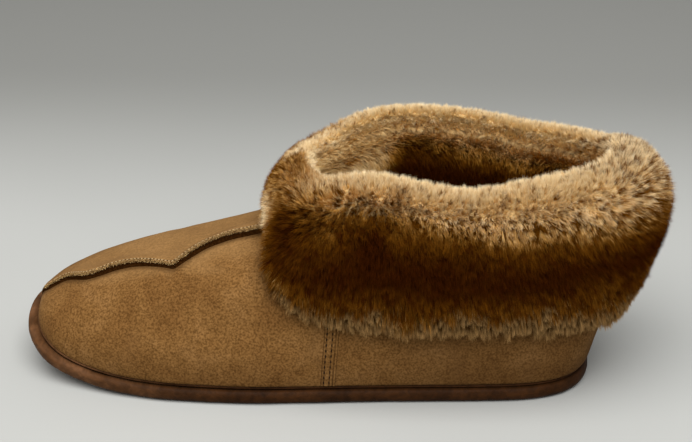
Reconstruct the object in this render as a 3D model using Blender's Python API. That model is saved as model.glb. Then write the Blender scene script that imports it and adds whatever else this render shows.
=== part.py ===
"""Shearling slipper, left foot, standing empty on its sole.

The upper, rand, outsole, insole and turned-down fur cuff are separate closed solids. Every one of
them is worked out from the same two functions: footprint() gives the sole's outline, and
upper_point() gives the outer surface of the last, as rings stacked from the sole edge to the rim.
The toe points along -X, the outer (lateral) side faces -Y, and the floor is z = 0.
"""

import math

import bmesh
import bpy
import numpy as np

MM = 0.001

# Driving sizes
LENGTH = 280 * MM
BALL_WIDTH = 101 * MM
TOE_SWING = 5.5 * MM  # how far the toe tip lies towards the big toe
TOE_SPRING = 18.5 * MM  # height of the sole under the toe tip
SPRING_POWER = 4.3  # how late the toe turns up
SPRING_FROM = -34 * MM  # the sole starts to rise here
ARCH_RISE = 1.4 * MM  # on the inner side, half way along ARCH_X
ARCH_X = (16 * MM, 76 * MM)
RAND_HEIGHT = 7 * MM
RAND_WIDTH = 7.2 * MM
OUTSOLE_THICKNESS = 4.6 * MM
INSOLE_THICKNESS = 6 * MM
WALL = 6 * MM  # suede and the wool behind it
GAP = 0.3 * MM
CUFF_GAP = 0.6 * MM

# Half widths of the sole on either side of its axis, as shares of the ball width.
FOOTPRINT_COLUMNS = ("station", "lateral", "medial")
FOOTPRINT = (
    (0.00, 0.000, 0.000),
    (0.02, 0.284, 0.262),
    (0.06, 0.400, 0.392),
    (0.12, 0.460, 0.460),
    (0.20, 0.507, 0.486),
    (0.30, 0.530, 0.489),
    (0.38, 0.530, 0.477),
    (0.50, 0.504, 0.430),
    (0.60, 0.474, 0.394),
    (0.70, 0.449, 0.378),
    (0.80, 0.426, 0.384),
    (0.88, 0.398, 0.374),
    (0.94, 0.337, 0.314),
    (0.98, 0.226, 0.200),
    (1.00, 0.000, 0.000),
)

# Rings of the upper in mm, from the sole edge to the rim: where each ring starts at the toe or
# instep and ends at the heel, how high it runs at its front, sides and back, its half widths, and
# how far its outline has turned from the footprint (0) into the oval of the opening (1).
RING_COLUMNS = (
    "front_x",
    "front_z",
    "lateral_z",
    "medial_z",
    "back_z",
    "back_x",
    "lateral",
    "medial",
    "oval",
)
RINGS = (
    (-135.0, 7.3, 7.3, 7.3, 7.3, 138.2, 50.8, 47.4, 0.00),
    (-135.6, 14.5, 12.5, 12.5, 12.0, 140.2, 51.3, 47.9, 0.02),
    (-134.0, 22.3, 20.0, 20.0, 20.0, 142.4, 51.0, 47.6, 0.06),
    (-130.0, 29.6, 27.8, 28.0, 28.5, 145.0, 49.8, 46.6, 0.13),
    (-123.0, 36.5, 35.0, 35.8, 37.5, 147.2, 48.0, 45.0, 0.23),
    (-112.5, 43.8, 41.8, 43.0, 46.5, 148.6, 46.0, 43.4, 0.34),
    (-98.0, 50.2, 48.5, 50.0, 55.0, 149.4, 44.0, 41.8, 0.45),
    (-80.0, 56.0, 55.0, 57.5, 63.0, 149.8, 42.2, 40.6, 0.56),
    (-60.0, 61.2, 61.5, 65.0, 71.0, 150.0, 40.8, 39.8, 0.67),
    (-40.0, 66.8, 68.0, 72.8, 79.0, 150.0, 39.8, 39.2, 0.78),
    (-24.0, 72.6, 75.0, 80.5, 86.5, 150.0, 39.3, 39.0, 0.89),
    (-13.5, 80.5, 82.5, 89.2, 93.5, 150.0, 39.4, 39.2, 0.96),
    (-7.0, 90.5, 90.0, 98.5, 99.5, 150.0, 39.8, 39.8, 1.00),
    (-3.5, 100.0, 96.5, 107.0, 105.0, 150.0, 40.5, 40.5, 1.00),
)
OVAL_FULLNESS = 2.25

# How the worn rim dips and rises round the opening, in mm, by degrees from the instep by way of the
# lateral side.
WAVE_COLUMNS = ("angle", "rise")
RIM_WAVES = (
    (0, -1.0),
    (30, -5.5),
    (60, 2.2),
    (76, 0.4),
    (93, -2.4),
    (120, 1.0),
    (150, 0.0),
    (180, 0.0),
    (210, -4.5),
    (240, -5.0),
    (270, 0.0),
    (300, 2.8),
    (330, -2.2),
    (360, -1.0),
)
SPRING_FADE = 3  # the upper loses the sole's spring with this power of what is left of the level
WAVES_FADE = 4  # the waves grow with this power of the level

# The cuff in mm, by degrees round the opening from the instep (0) to the heel (180): the angle and
# height at which its lower edge lies on the upper and how thick it is there, how far it runs out over
# the rim before it turns down, and how far it swells above its lower edge.
CUFF_COLUMNS = ("rim_angle", "edge_angle", "edge_z", "edge_thickness", "roll_out", "swell")
CUFF = (
    (0, 0, 77.5, 3.4, 4.5, 2.0),
    (15, 21, 74.5, 3.6, 5.0, 2.5),
    (30, 45, 67.0, 4.8, 7.0, 3.5),
    (42, 63, 59.0, 6.0, 10.5, 5.0),
    (53, 75, 52.5, 7.0, 14.0, 7.0),
    (64, 86, 48.0, 7.4, 16.0, 8.5),
    (77, 100, 45.5, 7.5, 17.0, 9.0),
    (92, 115, 44.5, 7.5, 17.0, 9.5),
    (120, 135, 44.5, 7.2, 18.0, 11.0),
    (150, 157, 42.0, 6.6, 22.0, 17.0),
    (165, 168.5, 39.0, 6.3, 24.5, 20.5),
    (180, 180, 37.5, 6.2, 25.5, 22.0),
)
ROLL_HEIGHT = 9.5 * MM  # the roll's crest above the upper's rim
SWELL_AT = 0.57  # share of the cuff's height at which it is drawn out by the swell
EDGE_DROP = 2.2 * MM  # how far the cuff's edge rounds down below where it starts

RING_POINTS = 80
UPPER_ROWS = 21
LINING_ROWS = 10
CUFF_POINTS = 64
CUFF_INNER_ROWS = 7
CUFF_OUTER_ROWS = 13
ROLL_ROWS = 4
PLATE_COLUMNS = 6

SUEDE = ((0.29, 0.155, 0.068), 0.92)
FLEECE = ((0.46, 0.33, 0.18), 0.95)
CUFF_FUR = ((0.055, 0.018, 0.005), 0.95)
RAND_LEATHER = ((0.115, 0.05, 0.025), 0.6)
SOLE_LEATHER = ((0.085, 0.045, 0.026), 0.75)


def smooth(rows, columns, column, at, level_ends=False):
    """One column of a table, read at the places given from a smooth curve through its rows.

    The curve never swings past its rows, because its slope is the harmonic mean of the runs on
    either side and zero where they differ in sign. With level_ends it is flat at both ends.
    """
    table = np.array(rows, float)
    places = table[:, 0]
    values = table[:, columns.index(column)]
    steps = np.diff(places)
    runs = np.diff(values) / steps
    slopes = np.zeros(len(places))
    same_sign = runs[:-1] * runs[1:] > 0
    sums = np.where(same_sign, runs[:-1] + runs[1:], 1)
    slopes[1:-1] = np.where(same_sign, 2 * runs[:-1] * runs[1:] / sums, 0)
    if not level_ends:
        slopes[0], slopes[-1] = runs[0], runs[-1]
    at = np.clip(np.asarray(at, float), places[0], places[-1])
    row = np.clip(np.searchsorted(places, at, side="right") - 1, 0, len(places) - 2)
    t = (at - places[row]) / steps[row]
    start = values[row] * (1 + 2 * t) * (1 - t) ** 2 + slopes[row] * steps[row] * t * (1 - t) ** 2
    end = values[row + 1] * (3 - 2 * t) * t**2 - slopes[row + 1] * steps[row] * t**2 * (1 - t)
    return start + end


def footprint_share(side, angle):
    """Half width of the sole as a share of the ball width, at an angle from toe (0) to heel (pi)."""
    by_angle = [(math.acos(1 - 2 * row[0]), row[1], row[2]) for row in FOOTPRINT]
    return smooth(by_angle, FOOTPRINT_COLUMNS, side, angle)


def axis_y(station):
    """The sole's axis, which swings to the big toe's side in front of the ball."""
    forward = np.clip((0.45 - station) / 0.45, 0, 1)
    return TOE_SWING * forward**2


def sole_z(x, y):
    """Height of the sole's underside: toe spring, and a low arch on the inner side."""
    ahead = np.clip((SPRING_FROM - x) / (LENGTH / 2 + SPRING_FROM), 0, 1.1)
    along = np.clip((x - ARCH_X[0]) / (ARCH_X[1] - ARCH_X[0]), 0, 1)
    inner = np.clip(y / (BALL_WIDTH / 2), 0, 1)
    return TOE_SPRING * ahead**SPRING_POWER + ARCH_RISE * np.sin(math.pi * along) ** 2 * inner


def footprint(angles, inset):
    """Points on the sole's outline, moved inwards by inset. Angles run 0 to 2 pi, lateral side first."""
    folded = np.where(angles <= math.pi, angles, 2 * math.pi - angles)
    station = (1 - np.cos(folded)) / 2
    lateral = angles <= math.pi
    share = np.where(lateral, footprint_share("lateral", folded), footprint_share("medial", folded))
    x = LENGTH * (station - 0.5)
    y = axis_y(station) + np.where(lateral, -1, 1) * share * BALL_WIDTH
    outward = outline_normals(x, y)
    return x - outward[:, 0] * inset, y - outward[:, 1] * inset


def outline_normals(x, y):
    """Unit outward normals of a closed outline that runs from the toe along the lateral side."""
    along_x = np.roll(x, -1) - np.roll(x, 1)
    along_y = np.roll(y, -1) - np.roll(y, 1)
    length = np.hypot(along_x, along_y)
    return np.stack([along_y / length, -along_x / length], axis=1)


def ring_angles(count):
    return np.arange(count) * 2 * math.pi / count


def ring_value(column, level):
    rows = [(index, *row) for index, row in enumerate(RINGS)]
    return smooth(rows, ("level", *RING_COLUMNS), column, level * (len(RINGS) - 1))


def upper_point(angle, level):
    """The upper's outer surface: angle 0 to 2 pi round the foot, level 0 at the sole to 1 at the rim."""
    angle, level = np.broadcast_arrays(np.asarray(angle, float), np.asarray(level, float))
    turned = np.mod(angle, 2 * math.pi)
    folded = np.where(turned <= math.pi, turned, 2 * math.pi - turned)
    lateral = turned <= math.pi
    station = (1 - np.cos(folded)) / 2
    front, back = ring_value("front_x", level) * MM, ring_value("back_x", level) * MM
    x = front + (back - front) * station
    _, lateral_full, medial_full = np.max(FOOTPRINT, axis=0)
    foot = np.where(
        lateral,
        footprint_share("lateral", folded) / lateral_full,
        footprint_share("medial", folded) / medial_full,
    )
    oval = (1 - np.abs(np.cos(folded)) ** OVAL_FULLNESS) ** (1 / OVAL_FULLNESS)
    turn = ring_value("oval", level)
    half = np.where(lateral, ring_value("lateral", level), ring_value("medial", level)) * MM
    axis = axis_y(x / LENGTH + 0.5) * (1 - turn)
    y = axis + np.where(lateral, -1, 1) * half * ((1 - turn) * foot + turn * oval)
    side_z = np.where(lateral, ring_value("lateral_z", level), ring_value("medial_z", level))
    ahead, behind = np.clip(np.cos(folded), 0, 1) ** 2, np.clip(-np.cos(folded), 0, 1) ** 2
    z = side_z * (1 - ahead - behind)
    z = z + ring_value("front_z", level) * ahead + ring_value("back_z", level) * behind
    z = z + smooth(RIM_WAVES, WAVE_COLUMNS, "rise", np.degrees(turned)) * level**WAVES_FADE
    return np.stack([x, y, z * MM + sole_z(x, y) * (1 - level) ** SPRING_FADE], axis=-1)


def upper_normal(angle, level):
    """Unit outward normals of the upper's surface."""
    step = 0.004
    low, high = np.clip(np.asarray(level) - step, 0, 1), np.clip(np.asarray(level) + step, 0, 1)
    around = upper_point(angle + step, level) - upper_point(angle - step, level)
    up = upper_point(angle, high) - upper_point(angle, low)
    normal = np.cross(around, up)
    return normal / np.linalg.norm(normal, axis=-1, keepdims=True)


def level_at_height(angle, z):
    """The level at which the upper's surface reaches a height, at an angle round the foot."""
    levels = np.linspace(0, 1, 401)
    return np.interp(z, upper_point(angle, levels)[:, 2], levels)


def material(name, finish):
    colour, roughness = finish
    made = bpy.data.materials.new(name)
    made.use_nodes = True
    shader = made.node_tree.nodes["Principled BSDF"]
    shader.inputs["Base Color"].default_value = (*colour, 1)
    shader.inputs["Roughness"].default_value = roughness
    shader.inputs["Metallic"].default_value = 0
    made.diffuse_color = (*colour, 1)
    return made


def add_object(name, mesh_builder, finish):
    """Finishes a bmesh as one named object with its own material."""
    bmesh.ops.recalc_face_normals(mesh_builder, faces=mesh_builder.faces)
    if mesh_builder.calc_volume(signed=True) < 0:
        bmesh.ops.reverse_faces(mesh_builder, faces=mesh_builder.faces)
    mesh = bpy.data.meshes.new(name)
    mesh_builder.to_mesh(mesh)
    mesh_builder.free()
    mesh.shade_smooth()
    mesh.set_sharp_from_angle(angle=math.radians(50))
    mesh.materials.append(material(name, finish))
    made = bpy.data.objects.new(name, mesh)
    bpy.context.scene.collection.objects.link(made)
    return made


def add_loops(builder, loops):
    """Adds loops of points, all of the same length, and the bands of faces between them."""
    rings = [[builder.verts.new(point) for point in loop] for loop in loops]
    for low, high in zip(rings[:-1], rings[1:]):
        bridge(builder, low, high)
    return rings


def bridge(builder, low, high):
    count = len(low)
    for i in range(count):
        j = (i + 1) % count
        builder.faces.new((low[i], low[j], high[j], high[i]))


def add_ladder(builder, ring, height):
    """Closes a ring with rungs from its lateral to its medial side; height(x, y) lifts their points."""
    half = len(ring) // 2
    rungs = [[ring[0]]]
    for i in range(1, half):
        start, end = ring[i], ring[-i]
        rung = [start]
        for column in range(1, PLATE_COLUMNS):
            x, y, _ = start.co.lerp(end.co, column / PLATE_COLUMNS)
            rung.append(builder.verts.new((x, y, height(x, y))))
        rungs.append([*rung, end])
    rungs.append([ring[half]])
    for near, far in zip(rungs[:-1], rungs[1:]):
        for column in range(PLATE_COLUMNS):
            corners = [rung_point(near, column), rung_point(near, column + 1)]
            corners += [rung_point(far, column + 1), rung_point(far, column)]
            builder.faces.new(list(dict.fromkeys(corners)))


def rung_point(rung, column):
    """A point of a rung. The first and last rungs are a single point, which stands for every column."""
    return rung[min(column, len(rung) - 1)]


def sole_loop(inset, height):
    """The sole's outline, moved inwards, at a height above the sole's underside."""
    x, y = footprint(ring_angles(RING_POINTS), inset)
    return np.stack([x, y, height + sole_z(x, y)], axis=1)


def make_outsole():
    inset = RAND_WIDTH + GAP
    builder = bmesh.new()
    edge = 0.6 * MM
    loops = [
        sole_loop(inset + edge, 0),
        sole_loop(inset, edge),
        sole_loop(inset, OUTSOLE_THICKNESS - edge),
        sole_loop(inset + edge, OUTSOLE_THICKNESS),
    ]
    rings = add_loops(builder, loops)
    add_ladder(builder, rings[0], sole_z)
    add_ladder(builder, rings[-1], lambda x, y: OUTSOLE_THICKNESS + sole_z(x, y))
    return add_object("outsole", builder, SOLE_LEATHER)


def make_rand():
    """The strip round the sole's edge: rounded outside, flat where the upper stands on it."""
    profile = (
        (RAND_WIDTH, 0.3 * MM),
        (2.6 * MM, 0.2 * MM),
        (1.0 * MM, 0.9 * MM),
        (0.2 * MM, 2.3 * MM),
        (0.0 * MM, 3.8 * MM),
        (0.4 * MM, 5.4 * MM),
        (1.3 * MM, 6.6 * MM),
        (2.4 * MM, RAND_HEIGHT),
        (RAND_WIDTH, RAND_HEIGHT),
    )
    builder = bmesh.new()
    rings = add_loops(builder, [sole_loop(inset, height) for inset, height in profile])
    bridge(builder, rings[-1], rings[0])
    return add_object("rand", builder, RAND_LEATHER)


def lining_point(angle, level):
    """The upper's inner surface, one wall thickness behind the outer one."""
    outer = upper_point(angle, level)
    inner = outer - upper_normal(angle, level) * WALL
    inner[..., 2] = np.where(level <= 0, outer[..., 2], inner[..., 2])
    return inner


def insole_loop(inset, height):
    """The upper's lower inner edge, moved inwards, at a height above the sole's underside."""
    edge = lining_point(ring_angles(RING_POINTS), 0)
    inner = edge[:, :2] - outline_normals(edge[:, 0], edge[:, 1]) * inset
    return np.stack([inner[:, 0], inner[:, 1], height + sole_z(inner[:, 0], inner[:, 1])], axis=1)


def make_insole():
    """A sheepskin sock that lies on the outsole, inside the upper's lower edge."""
    low = OUTSOLE_THICKNESS + GAP
    high = low + INSOLE_THICKNESS
    edge = 1.5 * MM
    builder = bmesh.new()
    loops = [
        insole_loop(GAP + edge, low),
        insole_loop(GAP, low + edge),
        insole_loop(GAP + edge / 2, high - edge),
        insole_loop(GAP + 2 * edge, high),
    ]
    rings = add_loops(builder, loops)
    add_ladder(builder, rings[0], lambda x, y: low + sole_z(x, y))
    add_ladder(builder, rings[-1], lambda x, y: high + sole_z(x, y))
    return add_object("insole", builder, FLEECE)


def make_upper():
    """One hollow shell: open at the rim, and underneath where the sole closes it."""
    angles = ring_angles(RING_POINTS)
    outer = [upper_point(angles, level) for level in np.linspace(0, 1, UPPER_ROWS)]
    inner = [lining_point(angles, level) for level in np.linspace(1, 0, LINING_ROWS)]
    rim_middle = (outer[-1] + inner[0]) / 2 + np.array([0, 0, 0.8 * MM])
    builder = bmesh.new()
    rings = add_loops(builder, [*outer, rim_middle, *inner])
    bridge(builder, rings[-1], rings[0])
    return add_object("upper", builder, SUEDE)


def cuff_value(column, angles):
    folded = np.degrees(np.where(angles <= math.pi, angles, 2 * math.pi - angles))
    return smooth(CUFF, CUFF_COLUMNS, column, folded, level_ends=column != "edge_angle")


def cuff_seat(angles):
    """Loops on the upper that the cuff lies against, edge first and rim last, and the edge's normals."""
    folded = np.radians(cuff_value("edge_angle", angles))
    edge_angle = np.where(angles <= math.pi, folded, 2 * math.pi - folded)
    heights = cuff_value("edge_z", angles) * MM
    edge_level = np.array([level_at_height(angle, z) for angle, z in zip(edge_angle, heights)])
    loops = []
    for share in np.linspace(0, 1, CUFF_INNER_ROWS):
        angle = edge_angle + (angles - edge_angle) * share
        level = edge_level + (1 - edge_level) * share
        loops.append(upper_point(angle, level) + upper_normal(angle, level) * CUFF_GAP)
    return loops, upper_normal(edge_angle, edge_level)


def make_cuff():
    """The fur cuff: turned over the rim and hanging outside the upper."""
    angles = ring_angles(CUFF_POINTS)
    seat, edge_normal = cuff_seat(angles)
    up = np.array([0, 0, 1.0])
    lift = 1.4 * MM
    rim, lining = seat[-1], lining_point(angles, 1)
    across = rim - lining
    across[:, 2] = 0
    outward = across / np.linalg.norm(across, axis=1, keepdims=True)
    loops = [*seat, rim + up * lift, lining + up * (lift + 0.2 * MM)]

    crest = (rim + lining) / 2 + up * ROLL_HEIGHT
    inner_half = (lining - rim) / 2
    for turn in np.linspace(0.12, 1, ROLL_ROWS, endpoint=False) * math.pi / 2:
        sunk = (ROLL_HEIGHT - lift) * (math.sin(turn) - 1)
        loops.append(crest + inner_half * math.cos(turn) + up * sunk)

    edge = seat[0] + edge_normal * cuff_value("edge_thickness", angles)[:, None] * MM
    over = crest + outward * cuff_value("roll_out", angles)[:, None] * MM
    height = (crest - edge)[:, 2:]
    full = edge + outward * cuff_value("swell", angles)[:, None] * MM + up * height * SWELL_AT
    for t in np.linspace(0, 1, CUFF_OUTER_ROWS):
        start, middle = crest * (1 - t) ** 3, over * 3 * t * (1 - t) ** 2
        loops.append(start + middle + full * 3 * t**2 * (1 - t) + edge * t**3)
    loops.append((edge + seat[0]) / 2 - up * EDGE_DROP)

    builder = bmesh.new()
    rings = add_loops(builder, loops)
    bridge(builder, rings[-1], rings[0])
    return add_object("cuff", builder, CUFF_FUR)


def main():
    for old in list(bpy.data.objects):
        bpy.data.objects.remove(old, do_unlink=True)
    make_outsole()
    make_rand()
    make_insole()
    make_upper()
    make_cuff()


main()
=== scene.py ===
"""Looks of the shearling slipper: camera, floor, light, suede with its seams, rand, wool and fur.

All sizes are in metres, in the frame's own axes: the toe points along -X, the outer side faces -Y,
and the floor is z = 0. Tables that are read in millimetres say so.
"""

import math

import bmesh
import bpy
import numpy as np
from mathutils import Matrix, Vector, noise
from mathutils.bvhtree import BVHTree
from mathutils.kdtree import KDTree


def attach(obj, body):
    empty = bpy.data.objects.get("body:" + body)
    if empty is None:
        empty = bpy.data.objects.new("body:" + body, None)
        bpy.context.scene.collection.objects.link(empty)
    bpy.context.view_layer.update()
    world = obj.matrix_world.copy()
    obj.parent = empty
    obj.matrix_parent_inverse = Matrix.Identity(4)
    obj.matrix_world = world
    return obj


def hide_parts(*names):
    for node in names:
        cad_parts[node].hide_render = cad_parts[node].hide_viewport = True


MM = 0.001


def table(names, *rows):
    """A table's columns by name. The others are read by its first one."""
    return dict(zip(names.split(), np.array(rows, float).T))


# Camera
LOOK_AT = Vector((0.0191, 0, 0.0737))
CAMERA_AZIMUTH = 4.04  # degrees from the outer side towards the heel
CAMERA_ELEVATION = 23.23
CAMERA_DISTANCE = 0.65
LENS = 69.8

# Floor and light
FLOOR_HALF_SIDE = 2.5
ROOM_LIGHT = 0.42
ROOM_COLOUR = (1.0, 0.985, 0.955, 1)
KEY_PLACE = Vector((0.02, -0.64, 1.36))
KEY_AIM = Vector((0, 0, 0.03))
KEY_SIZE = 1.5
KEY_POWER = 34
KEY_COLOUR = (1.0, 0.985, 0.96)

# The seam along the vamp in mm, from the toe to beneath the cuff: where the inner panel's edge
# stands on the outer panel. It swings out to a point between each two scallops.
SEAM = (
    (-136.0, 1.0, 26.5), (-133.0, -2.0, 31.5), (-129.5, -5.8, 34.0),
    (-125.5, -6.9, 37.0), (-118.5, -8.2, 41.0), (-112.0, -12.4, 43.4),
    (-106.5, -15.6, 45.2), (-99.5, -16.4, 47.9), (-92.0, -15.9, 50.7),
    (-84.0, -16.4, 53.2), (-76.5, -18.6, 54.9), (-69.0, -21.6, 56.0),
    (-63.5, -24.2, 56.8), (-60.5, -24.6, 57.2), (-57.8, -22.8, 58.4),
    (-53.0, -18.8, 60.6), (-46.6, -14.0, 63.3), (-39.0, -11.4, 65.8),
    (-31.5, -11.0, 68.0), (-21.7, -12.8, 71.3), (-12.0, -15.0, 74.0),
)
LAP_STATIONS = 260
# The lap's section in mm: distance in from the edge and height above the panels.
LAP_PROFILE = (
    (-0.1, -0.25), (0.3, 0.4), (0.75, 1.05), (1.05, 1.65), (1.15, 2.15), (1.05, 2.45),
    (1.25, 2.85), (1.7, 3.05), (2.25, 3.0), (2.8, 2.8), (3.4, 2.65), (4.0, 2.65),
    (5.2, 2.5), (7.0, 2.0), (8.5, 1.55), (10.0, 1.12), (11.5, 0.75), (13.0, 0.43),
    (14.5, 0.2), (16.0, 0.04), (17.5, -0.12),
)
# Square to the edge at first, rows turn between these distances to one way in for the whole seam.
# It keeps the rows apart at the kink, and its rise keeps them on the suede's outer side.
LAP_TURN = (0.8 * MM, 4.5 * MM)
LAP_INWARD = (0.12, 1.0, 0.35)
WOOL_ROWS = 4  # the first rows of the lap's profile are the wool in its shade
RAW_ROWS = 7  # the next ones are its raw edge
LAP_STITCH_INSET = 2.6 * MM
LAP_STITCH_LIFT = 2.95 * MM
LAP_STITCH_PITCH = 2.0 * MM
LAP_STITCH_SIZE = (1.25 * MM, 0.75 * MM, 0.5 * MM)
LAP_HOLE_SIZE = (0.9 * MM, 0.8 * MM, 0.4 * MM)
LAP_HOLE_SUNK = 0.05 * MM
# How high the lap stands from the toe to the cuff: low at the toe and at the kink.
LAP_RISE = table(
    "share rise",
    (0.00, 0.25), (0.10, 0.70), (0.20, 0.90), (0.38, 1.15), (0.50, 0.95), (0.59, 0.75),
    (0.68, 1.10), (0.85, 1.25), (1.00, 1.00),
)
RAGGED_BY = 0.16 * MM
LAP_END_SUNK = 0.6 * MM  # its end at the toe dives into the suede over this share of its length
LAP_END_SHARE = 0.035
FUZZ_STRANDS = 3600
FUZZ_WIDTH = 0.2 * MM
FUZZ_LENGTH = (0.4 * MM, 0.9 * MM)
FUZZ_DYES = (0.13, 0.97)

# The side seam: a strip over the join of vamp and quarter, on both sides of the foot.
SIDE_SEAM_FOOT = (14.0 * MM, 9.5 * MM)  # x and z of its middle at the rand
SIDE_SEAM_HEAD = (16.6 * MM, 46 * MM)
# Its section in mm: distance along the foot from its middle, height above the suede and painted
# shade in its grooves and at its edges.
SIDE_SEAM_PROFILE = (
    (-3.9, -0.3, 0.30), (-3.6, 0.1, 0.75), (-3.3, 0.35, 0.25), (-2.8, 0.35, 0.0),
    (-2.3, 0.0, 0.55), (-1.8, 0.4, 0.0), (-1.0, 0.6, 0.0), (-0.2, 0.45, 0.0),
    (0.3, 0.05, 0.55), (0.8, 0.45, 0.0), (1.4, 0.4, 0.0), (1.9, 0.05, 0.6),
    (2.4, 0.65, 0.0), (2.9, 0.6, 0.0), (3.3, 0.0, 0.6), (3.6, -0.3, 0.3),
)
SIDE_STITCH_ROWS = (-2.3 * MM, 0.3 * MM)
SIDE_STITCH_PITCH = 2.8 * MM
SIDE_STITCH_START = 1.6 * MM
SIDE_HOLE_SIZE = (1.5 * MM, 0.95 * MM, 0.4 * MM)
SIDE_HOLE_LIFT = 0.2 * MM

# Creases in the suede: both ends in mm, half width in mm and depth in mm (a ridge is negative).
CREASES = (
    ((-61.5, -26.5, 55.8), (-59.5, -35.0, 52.0), 1.6, 0.55),
    ((-65.0, -27.5, 55.0), (-63.5, -33.0, 52.8), 1.8, -0.35),
    ((-57.0, -26.0, 56.8), (-55.5, -33.0, 54.0), 2.2, -0.3),
    ((-122.0, -16.0, 37.5), (-98.0, -29.0, 42.0), 5.0, 0.5),
    ((-40.0, -28.0, 60.0), (-18.0, -36.0, 60.0), 5.0, 0.6),
    ((-30.0, -42.0, 40.0), (-8.0, -45.5, 30.0), 6.0, 0.5),
    ((-80.0, -40.0, 40.0), (-40.0, -46.0, 36.0), 9.0, 0.45),
    ((60.0, -44.0, 30.0), (85.0, -42.0, 18.0), 6.0, 0.5),
    ((-64.0, 30.0, 54.0), (-48.0, 38.0, 45.0), 5.0, 0.6),
    ((-35.0, 36.0, 58.0), (-20.0, 42.0, 48.0), 5.0, 0.5),
    ((40.0, 40.0, 34.0), (70.0, 38.0, 22.0), 6.0, 0.5),
)
# How uneven the surfaces are: the sizes of the swells, their heights and their seeds.
SUEDE_WAVES = ((24 * MM, 0.35 * MM, 1), (9 * MM, 0.12 * MM, 2))
RAND_WAVES = ((11 * MM, 0.22 * MM, 3), (4 * MM, 0.08 * MM, 4))
TOE_SWELL = 0.9 * MM  # how much fuller the rand's lip is at the toe
TUCK = 0.7 * MM  # how far the suede turns in where it meets the rand
TUCK_REACH = 2.6 * MM
CORE = (-105 * MM, 112 * MM, 1.5 * MM)  # the foot's middle line: its ends along x, and its y
END_RADIUS = 45 * MM  # the turns at both ends, to share out the welt's stations
FAR_OUT = 90 * MM  # from the middle line to well past the rand
WELT_STATIONS = 420
WELT_HEIGHTS = np.arange(36, 2, -0.25) * MM  # where the rand's top is looked for, from above
WELT_RADIUS = 0.62 * MM
WELT_SIDES = 8
WELT_SMOOTHINGS = 3
WELT_IN = 1.0 * MM  # how far it stands in from the rand's top, and up
WELT_UP = Vector((0, 0, 0.5 * MM))

OPENING = (72 * MM, 0, 40 * MM, 80 * MM)  # centre x and y of the opening, its half width and length

# The pile down the cuff: run is 0 on the roll's crest and 1 at the cuff's lower edge, stretched so
# that the dyed band lies between two fixed values. dye is how dark the wool is (inside the
# opening painted shade from DEPTH takes its place), tipped the share of tufts whose tips are darker
# still, length is in mm and droop is how far the strands lean down.
BAND_FROM, BAND_TO = 0.2, 0.8
PILE = table(
    "run dye tipped length droop",
    (-0.15, 0.05, 0.12, 6.0, 0.25),
    (0.00, 0.03, 0.08, 6.0, 0.00),
    (0.07, 0.07, 0.24, 6.5, 0.20),
    (0.13, 0.14, 0.38, 7.0, 0.36),
    (0.20, 0.27, 0.42, 7.2, 0.46),
    (0.26, 0.42, 0.38, 7.5, 0.50),
    (0.34, 0.64, 0.36, 7.5, 0.50),
    (0.45, 0.88, 0.30, 7.5, 0.50),
    (0.56, 0.98, 0.30, 7.5, 0.50),
    (0.70, 0.92, 0.30, 7.5, 0.50),
    (0.79, 0.64, 0.45, 7.8, 0.62),
    (0.85, 0.46, 0.55, 8.3, 0.80),
    (0.91, 0.38, 0.45, 9.0, 1.15),
    (1.00, 0.34, 0.30, 9.5, 1.90),
)
# Where the dyed band starts and ends, as true shares of the way down, by degrees round the opening,
# and the darkest dye there. Towards the toe, from 335 round to 43 degrees, it is kept paler: partly
# the wool's own colour, partly painted light where the cuff is turned from the lamp.
BAND = table(
    "turn start end most",
    (0, 0.26, 0.74, 0.34),
    (24, 0.23, 0.70, 0.28),
    (34, 0.24, 0.66, 0.28),
    (43, 0.24, 0.62, 0.46),
    (49, 0.20, 0.63, 0.85),
    (55, 0.15, 0.70, 1.20),
    (63, 0.12, 0.72, 1.20),
    (72, 0.15, 0.71, 1.20),
    (83, 0.18, 0.71, 1.20),
    (92, 0.22, 0.71, 1.20),
    (105, 0.27, 0.71, 1.20),
    (120, 0.29, 0.67, 1.20),
    (137, 0.30, 0.60, 1.20),
    (155, 0.31, 0.52, 1.10),
    (180, 0.32, 0.56, 1.10),
    (230, 0.28, 0.72, 1.20),
    (300, 0.22, 0.74, 1.20),
    (335, 0.24, 0.74, 0.80),
    (360, 0.26, 0.74, 0.34),
)
# Patches of dye, painted shade and painted light: middle as turn in degrees and run, half sizes,
# and how much darker (or paler).
PATCHES = (
    (43, 0.34, 5, 0.12, 0.22),
    (44, 0.55, 5, 0.10, 0.10),
    (59, 0.36, 6, 0.13, -0.32),
    # painted shade in a fold of the wool
    (71, 0.30, 2.5, 0.16, 0.35),
    (55, 0.52, 6, 0.06, -0.15),
    (47, 0.74, 9, 0.06, -0.18),
    (96, 0.50, 8, 0.10, -0.08),
    (128, 0.60, 8, 0.12, -0.14),
    (160, 0.62, 12, 0.14, -0.16),
    (12, 0.02, 26, 0.16, 0.20),
    # painted light on the lower front of the cuff, which is turned from the light
    (18, 0.58, 24, 0.26, -0.20),
)
# Inside, the wool is painted darker with its depth below the rim: painted shade, as little light
# gets in.
DEPTH = table(
    "depth_mm dye",
    (0, 0.03), (9, 0.04), (13, 0.10), (17, 0.30), (21, 0.55), (25, 0.82), (30, 1.10),
    (120, 1.20),
)
# How steeply the strands rise there and how long they are, so that the wool slopes in like a bowl.
# They meet where the lining joins the roll, 9 mm below the rim.
FAN = table(
    "depth_mm rise length",
    (0, 1.6, 5.5), (4, 0.9, 5.0), (8, 0.1, 6.0), (9.5, 0.4, 7.0), (11, 0.8, 8.0),
    (15, 0.6, 9.5), (20, 0.4, 10.5), (26, 0.25, 9.0), (36, 0.25, 6.0),
)
# How much sooner the painted shade darkens it, by degrees round the opening: late in front and soon
# at the back.
SHADE = table(
    "turn sooner_mm",
    (0, -17), (60, -12), (180, 0), (205, 4), (240, 2), (262, 1), (276, 3), (291, 5),
    (298, -2), (304, -11), (311, -14), (360, -17),
)
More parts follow.
